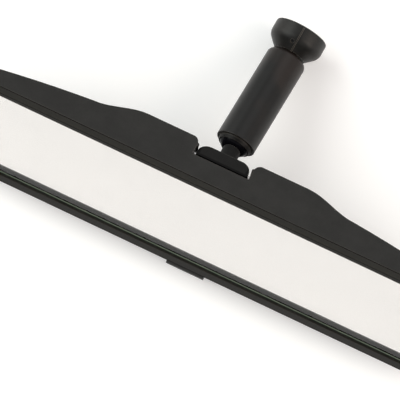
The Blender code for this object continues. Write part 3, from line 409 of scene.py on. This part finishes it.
def ground_edge():
    """Ground edge of the glass, pale green inside, black paint lapping over it from behind,
    painted shade on its front half and a painted glow of its own colour.
    """
    finish = Finish("ground_edge_seen")
    grain = finish.noise(0.5 * MM, 3.0, 0.7)
    depth = finish.axis(finish.place(), 1)
    painted = depth.ramp(GLASS_LOW.y + 4.0 * MM, GLASS_LOW.y + 4.2 * MM)
    # painted shade of the rebate over the front half of the edge
    shaded = 1.0 - depth.ramp(GLASS_LOW.y + 1.2 * MM, GLASS_LOW.y + 2.1 * MM)
    colour = finish.mix(grain, (0.21, 0.26, 0.19), (0.28, 0.34, 0.26))
    colour = finish.mix(painted.at_least(shaded), colour, (0.004, 0.006, 0.004))
    # the emission is painted light: the edge glows with its own colour in place of light
    # carried through the glass
    finish.set(Base_Color=colour, Roughness=0.6 + grain * 0.2, Emission_Color=colour,
               Emission_Strength=0.4, Normal=finish.bump(grain, 0.03 * MM, 0.6))
    return finish.material


def silver_coat():
    """Silver coat behind the glass, very slightly uneven, with a near-black band at the bottom
    that is a painted reflection of the rim's dark lip.
    """
    finish = Finish("silver_seen")
    cloud = finish.noise(30 * MM, 3.0, 0.5)
    # below this height the silver gives way to near-black: a painted reflection of the rim's
    # dark lip
    silver_above_lip_reflection = finish.axis(finish.place(), 2).ramp(GLASS_LOW.z + LIP_REFLECTION_WIDTH,
                                                 GLASS_LOW.z + LIP_REFLECTION_WIDTH + 0.2 * MM)
    colour = finish.mix(cloud, (0.79, 0.784, 0.80), (0.77, 0.764, 0.78))
    finish.set(Base_Color=finish.mix(silver_above_lip_reflection, (0.004, 0.004, 0.0035), colour),
               Roughness=0.3 - silver_above_lip_reflection * 0.285 + cloud * 0.02, Metallic=silver_above_lip_reflection,
               Specular_IOR_Level=0.02)
    return finish.material


def foam():
    """Open-cell foam."""
    finish = Finish("foam_seen")
    cells = finish.node("ShaderNodeTexVoronoi", Vector=finish.place(), Scale=1.0 / (0.9 * MM))
    cloud = finish.noise(6 * MM, 3.0)
    finish.set(Base_Color=finish.mix(cloud, (0.07, 0.07, 0.075), (0.12, 0.12, 0.125)),
               Roughness=0.9, Normal=finish.bump(cells, 0.3 * MM, 0.8))
    return finish.material


def lever_plastic():
    """Satin black lever, polished by fingers at the tab."""
    finish = Finish("lever_plastic_seen")
    cloud = finish.noise(4 * MM, 4.0, 0.6)
    edges = finish.worn_edges(0.35 * MM, 0.6)
    height = finish.axis(finish.place(), 2)
    touched = 1.0 - height.ramp(LEVER_LOW.z, LEVER_LOW.z + 6 * MM)
    colour = finish.mix(cloud, (0.008, 0.008, 0.007), (0.014, 0.0135, 0.011))
    colour = finish.mix(edges, colour, (0.15, 0.14, 0.115))
    finish.set(Base_Color=colour, Roughness=0.42 - touched * 0.12 + cloud * 0.08,
               Normal=finish.bump(finish.noise(0.4 * MM), 0.015 * MM, 0.5))
    return finish.material


FINISHES = {
    "case_plastic": case_plastic,
    "bezel_plastic": bezel_plastic,
    "black_casting": black_casting,
    "black_tube": black_tube,
    "bell_plastic": bell_plastic,
    "ball_plastic": ball_plastic,
    "nylon": nylon,
    "steel": bright_steel,
    "spring_steel": spring_steel,
    "mirror_glass": mirror_glass,
    "silver": silver_coat,
    "ground_edge": ground_edge,
    "dark_screw": dark_screw,
    "foam": foam,
    "lever_plastic": lever_plastic,
}


# ---- mesh helpers -----------------------------------------------------------
def mesh_piece(name, build):
    """An object whose mesh is made by build, a function that fills a bmesh."""
    mesh = bpy.data.meshes.new(name)
    shape = bmesh.new()
    build(shape)
    bmesh.ops.recalc_face_normals(shape, faces=shape.faces)
    shape.to_mesh(mesh)
    shape.free()
    piece = bpy.data.objects.new(name, mesh)
    bpy.context.scene.collection.objects.link(piece)
    return piece


def smooth(piece, angle=math.radians(42)):
    for face in piece.data.polygons:
        face.use_smooth = True
    piece.data.set_sharp_from_angle(angle=angle)
    even = piece.modifiers.new("even_normals", "WEIGHTED_NORMAL")
    even.keep_sharp = True
    return piece


def settled(piece):
    """Applies the modifiers that a piece has so far."""
    graph = bpy.context.evaluated_depsgraph_get()
    mesh = bpy.data.meshes.new_from_object(piece.evaluated_get(graph))
    piece.modifiers.clear()
    piece.data = mesh
    return piece


def node_shape(shape, node_name, facing=None):
    """Fills shape with a CAD node's welded faces, or only those facing one way."""
    mesh = frame["nodes"][node_name].data
    corners = [shape.verts.new(vertex.co) for vertex in mesh.vertices]
    for face in mesh.polygons:
        if facing is None or facing(face.normal):
            if len(set(face.vertices)) == len(face.vertices):
                shape.faces.new([corners[index] for index in face.vertices])
    bmesh.ops.remove_doubles(shape, verts=shape.verts, dist=0.0005 * MM)
    loose = [vertex for vertex in shape.verts if not vertex.link_faces]
    bmesh.ops.delete(shape, geom=loose, context="VERTS")


def refined(name, node_name, edge, segments=2):
    """A node's shape with its flat facets joined, its edges eased and its rounds smooth."""
    def build(shape):
        node_shape(shape, node_name)
        bmesh.ops.dissolve_limit(shape, angle_limit=math.radians(0.6), verts=shape.verts,
                                 edges=shape.edges)

    piece = mesh_piece(name, build)
    if edge:
        ease = piece.modifiers.new("edges", "BEVEL")
        ease.width = edge
        ease.segments = segments
        ease.limit_method = "ANGLE"
        ease.angle_limit = math.radians(35)
        ease.use_clamp_overlap = True
        settled(piece)
    return smooth(piece)


def skin(name, node_name, facing, thickness):
    """A thin sheet over the faces of a node that face one way."""
    mesh = bpy.data.meshes.new(name)
    shape = bmesh.new()
    node_shape(shape, node_name, facing)
    shape.normal_update()
    for vertex in shape.verts:
        vertex.co += vertex.normal * SKIN_GAP
    shape.to_mesh(mesh)
    shape.free()
    piece = bpy.data.objects.new(name, mesh)
    bpy.context.scene.collection.objects.link(piece)
    wall = piece.modifiers.new("wall", "SOLIDIFY")
    wall.thickness = thickness
    wall.offset = 1.0
    return settled(piece)


def dress(piece, slot_name, body, nodes=(), finish=None):
    """Gives a piece its finish, the body it rides on and the CAD nodes it stands for."""
    piece.data.materials.clear()
    piece.data.materials.append(made_finish(finish or slot_name))
    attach(piece, body)
    if nodes:
        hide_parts(*nodes)
    return piece


MADE = {}


def made_finish(slot_name):
    if slot_name not in MADE:
        MADE[slot_name] = FINISHES[slot_name]()
    return MADE[slot_name]


# ---- settings ---------------------------------------------------------------
class MirrorFinish(bpy.types.PropertyGroup):
    case_colour: FloatVectorProperty(
        name="Case colour", description="Moulded colour of the rear case",
        subtype="COLOR", size=3, min=0.0, max=1.0, default=(0.013, 0.0128, 0.0122))


class MirrorStage(bpy.types.PropertyGroup):
    azimuth: FloatProperty(
        name="Azimuth", description="Camera's turn round the mirror",
        subtype="ANGLE", default=math.radians(10.246))
    elevation: FloatProperty(
        name="Elevation", description="Camera's height above the glass's own level",
        subtype="ANGLE", default=math.radians(55.18))
    roll: FloatProperty(
        name="Roll", description="Camera's turn about its line of sight",
        subtype="ANGLE", default=math.radians(16.77))
    distance: FloatProperty(
        name="Distance", description="Camera to mirror", unit="LENGTH", default=2.0)
    lens: FloatProperty(
        name="Lens", description="Focal length on a 36 mm sensor", default=403.7)
    table_tilt: FloatProperty(
        name="Table tilt", description="Table's slope under the mirror, which lies on its back",
        subtype="ANGLE", default=math.radians(38.5))


# ---- operators --------------------------------------------------------------
class MIRROR_OT_finishes(bpy.types.Operator):
    """Give every carried-over piece its detailed finish"""
    bl_idname = "mirror.finishes"
    bl_label = "Finishes"

    def execute(self, context):
        slots = {entry["node"]: entry["material_slot"] for entry in frame["record"]["subparts"]}
        for name, node in frame["nodes"].items():
            for number in range(max(1, len(node.material_slots))):
                if not node.material_slots:
                    node.data.materials.append(None)
                node.material_slots[number].link = "OBJECT"
                node.material_slots[number].material = made_finish(slots[name])
        return {"FINISHED"}


def body_of_node(name):
    bodies = frame["record"]["behaviour"]["bodies"]
    return next(body for body, nodes in bodies.items() if name in nodes)


def slot_of_node(name):
    return next(entry["material_slot"] for entry in frame["record"]["subparts"]
                if entry["node"] == name)


def stand_in(node_name, edge, segments=2, finish=None):
    """The finished version of one CAD node."""
    piece = refined(node_name + "_finished", node_name, edge, segments)
    return dress(piece, slot_of_node(node_name), body_of_node(node_name), (node_name,), finish)


class MIRROR_OT_housing(bpy.types.Operator):
    """Ease the edges of the case and the rim"""
    bl_idname = "mirror.housing"
    bl_label = "Case and rim"

    def execute(self, context):
        stand_in("rear_case", 0.35 * MM)
        stand_in("bezel", 0.3 * MM)
        return {"FINISHED"}


class MIRROR_OT_glass(bpy.types.Operator):
    """Silver the glass and grind its edge"""
    bl_idname = "mirror.glass"
    bl_label = "Glass"

    def execute(self, context):
        silver = skin("silver_sheet", "prism_glass", lambda n: n.y > 0.9, 0.1 * MM)
        dress(silver, "silver", "head", ("silver_backing",))
        glass = mesh_piece("glass_finished", self.wedge)
        dress(glass, "mirror_glass", "head", ("prism_glass",))
        glass.data.materials.append(made_finish("ground_edge"))
        for face in glass.data.polygons:
            face.material_index = int(abs(face.normal.y) < 0.5)
        return {"FINISHED"}

    @staticmethod
    def wedge(shape):
        """The prism, cut a little inside its rebate."""
        node_shape(shape, "prism_glass")
        shape.normal_update()
        for vertex in shape.verts:
            outward = Vector((vertex.normal.x, 0.0, vertex.normal.z)).normalized()
            vertex.co -= outward * GLASS_CUT


class MIRROR_OT_arm(bpy.types.Operator):
    """Finish the tube, the balls and what is round them"""
    bl_idname = "mirror.arm"
    bl_label = "Arm and balls"

    def execute(self, context):
        stand_in("arm_tube", 0.12 * MM)
        for name in ("upper_ball", "lower_ball", "upper_ball_liner", "lower_ball_liner",
                     "upper_pressure_cup", "lower_pressure_cup", "arm_spring"):
            stand_in(name, 0.0)
        return {"FINISHED"}


class MIRROR_OT_foot(bpy.types.Operator):
    """Finish the windscreen foot"""
    bl_idname = "mirror.foot"
    bl_label = "Foot"

    def execute(self, context):
        stand_in("foot_bell", 0.15 * MM)
        stand_in("foot_set_screw", 0.08 * MM, finish="dark_screw")
        stand_in("button_snap_ring", 0.0)
        return {"FINISHED"}


class MIRROR_OT_bracket(bpy.types.Operator):
    """Finish the pivot bracket and its pins"""
    bl_idname = "mirror.bracket"
    bl_label = "Bracket"

    def execute(self, context):
        stand_in("pivot_bracket", 0.25 * MM)
        for name in ("tail_pin", "tilt_axle", "lever_pin"):
            stand_in(name, 0.1 * MM)
        for name in ("axle_clip_left", "axle_clip_right", "detent_leaf"):
            stand_in(name, 0.06 * MM)
        for name in ("leaf_screw_left", "leaf_screw_right"):
            stand_in(name, 0.08 * MM)
        return {"FINISHED"}


class MIRROR_OT_lever(bpy.types.Operator):
    """Finish the flip lever"""
    bl_idname = "mirror.lever"
    bl_label = "Flip lever"

    def execute(self, context):
        stand_in("flip_lever", 0.25 * MM)
        return {"FINISHED"}


class MIRROR_OT_stage(bpy.types.Operator):
    """Set the table, the soft light and the camera"""
    bl_idname = "mirror.stage"
    bl_label = "Table, light and camera"

    def execute(self, context):
        stage = context.scene.mirror_stage
        self.table(stage)
        self.light(stage)
        self.camera(context, stage)
        context.scene.view_settings.view_transform = "Standard"
        return {"FINISHED"}

    def table(self, stage):
        """A pale sheet that touches the foot's rim and the back of the case's lower edge."""
        lean = Matrix.Rotation(stage.table_tilt, 4, "X")
        up = lean.to_3x3() @ Vector((0, 0, 1))
        rest = Vector((0.0, CASE_HIGH.y, CASE_LOW.z))
        foot_drop = min(
            (node.matrix_world @ vertex.co - rest).dot(up)
            for name, node in frame["nodes"].items() if name in ("foot_bell", "rear_case")
            for vertex in node.data.vertices)

        def sheet(shape):
            bmesh.ops.create_grid(shape, x_segments=2, y_segments=2, size=1.5)

        floor = mesh_piece("table", sheet)
        floor.matrix_world = Matrix.Translation(rest + (foot_drop - 0.2 * MM) * up) @ lean
        finish = Finish("table_white")
        cloud = finish.noise(0.12, 3.0)
        finish.set(Base_Color=finish.mix(cloud, (0.93, 0.93, 0.93), (0.95, 0.95, 0.95)),
                   Roughness=0.32 + cloud * 0.05, Specular_IOR_Level=0.4,
                   Emission_Color=(1.0, 1.0, 1.0), Emission_Strength=TABLE_GLOW,
                   Normal=finish.bump(finish.noise(0.9 * MM), 0.01 * MM, 0.3))
        behind = finish.node("ShaderNodeNewGeometry", output=6)
        clear = finish.node("ShaderNodeBsdfTransparent")
        both = finish.node("ShaderNodeMixShader", Fac=behind)
        tree = finish.tree
        mixer = both.socket.node
        tree.links.new(finish.shader.outputs[0], mixer.inputs[1])
        tree.links.new(clear.socket, mixer.inputs[2])
        tree.links.new(mixer.outputs[0], tree.nodes["Material Output"].inputs["Surface"])
        floor.data.materials.append(finish.material)

    def light(self, stage):
        lean = Matrix.Rotation(stage.table_tilt, 3, "X")
        centre = (CAD_BOX[0] + CAD_BOX[1]) / 2
        for name, place, size, power, colour in LAMPS:
            lamp = bpy.data.lights.new(name, "AREA")
            lamp.shape = "SQUARE"
            lamp.size = size
            lamp.energy = power
            lamp.color = colour
            item = bpy.data.objects.new(name, lamp)
            bpy.context.scene.collection.objects.link(item)
            spot = lean @ Vector(place)
            item.location = centre + spot
            item.rotation_euler = (-spot).to_track_quat("-Z", "Y").to_euler()
        self.room(lean @ Vector((0, 0, 1)))

    def room(self, up):
        """Pale walls and ceiling, with a dim opening straight above the table."""
        world = bpy.data.worlds.new("soft_room")
        world.use_nodes = True
        tree = world.node_tree
        coordinate = tree.nodes.new("ShaderNodeTexCoord")
        height = tree.nodes.new("ShaderNodeVectorMath")
        height.operation = "DOT_PRODUCT"
        height.inputs[1].default_value = up
        tree.links.new(coordinate.outputs["Generated"], height.inputs[0])
        fade = Sock(tree, height.outputs["Value"]).ramp(0.90, 0.985)
        glow = WALL_GLOW + fade * (CEILING_GLOW - WALL_GLOW)
        plug(tree, tree.nodes["Background"].inputs["Color"], (1.0, 1.0, 1.0))
        plug(tree, tree.nodes["Background"].inputs["Strength"], glow)
        bpy.context.scene.world = world

    def camera(self, context, stage):
        turn, rise = stage.azimuth, stage.elevation
        back = Vector((math.sin(turn) * math.cos(rise), -math.cos(turn) * math.cos(rise),
                       math.sin(rise)))
        level = Vector((math.cos(turn), math.sin(turn), 0.0))
        above = back.cross(level)
        right = level * math.cos(stage.roll) + above * math.sin(stage.roll)
        up = back.cross(right)
        data = bpy.data.cameras.new("camera")
        data.lens = stage.lens
        data.sensor_width = 36.0
        data.clip_end = 20.0
        item = bpy.data.objects.new("camera", data)
        context.scene.collection.objects.link(item)
        turn_matrix = Matrix((right, up, back)).transposed().to_4x4()
        item.matrix_world = (Matrix.Translation(LOWER_BALL + AIM + back * stage.distance)
                             @ turn_matrix)
        context.scene.camera = item


# ---- panel ------------------------------------------------------------------
STEPS = (MIRROR_OT_finishes, MIRROR_OT_housing, MIRROR_OT_glass, MIRROR_OT_arm, MIRROR_OT_foot,
         MIRROR_OT_bracket, MIRROR_OT_lever, MIRROR_OT_stage)


class MIRROR_PT_build(bpy.types.Panel):
    bl_label = "Rear-view mirror"
    bl_space_type = "VIEW_3D"
    bl_region_type = "UI"
    bl_category = "Mirror"

    def draw(self, context):
        for settings in (context.scene.mirror_finish, context.scene.mirror_stage):
            box = self.layout.box()
            for key in settings.__annotations__:
                box.prop(settings, key)
        for step in STEPS:
            self.layout.operator(step.bl_idname)


CLASSES = (MirrorFinish, MirrorStage, *STEPS, MIRROR_PT_build)


def register():
    for item in CLASSES:
        bpy.utils.register_class(item)
    bpy.types.Scene.mirror_finish = PointerProperty(type=MirrorFinish)
    bpy.types.Scene.mirror_stage = PointerProperty(type=MirrorStage)


def unregister():
    del bpy.types.Scene.mirror_stage
    del bpy.types.Scene.mirror_finish
    for item in reversed(CLASSES):
        bpy.utils.unregister_class(item)


def main():
    register()
    for step in STEPS:
        group, name = step.bl_idname.split(".")
        getattr(getattr(bpy.ops, group), name)()


if __name__ == "__main__":
    main()
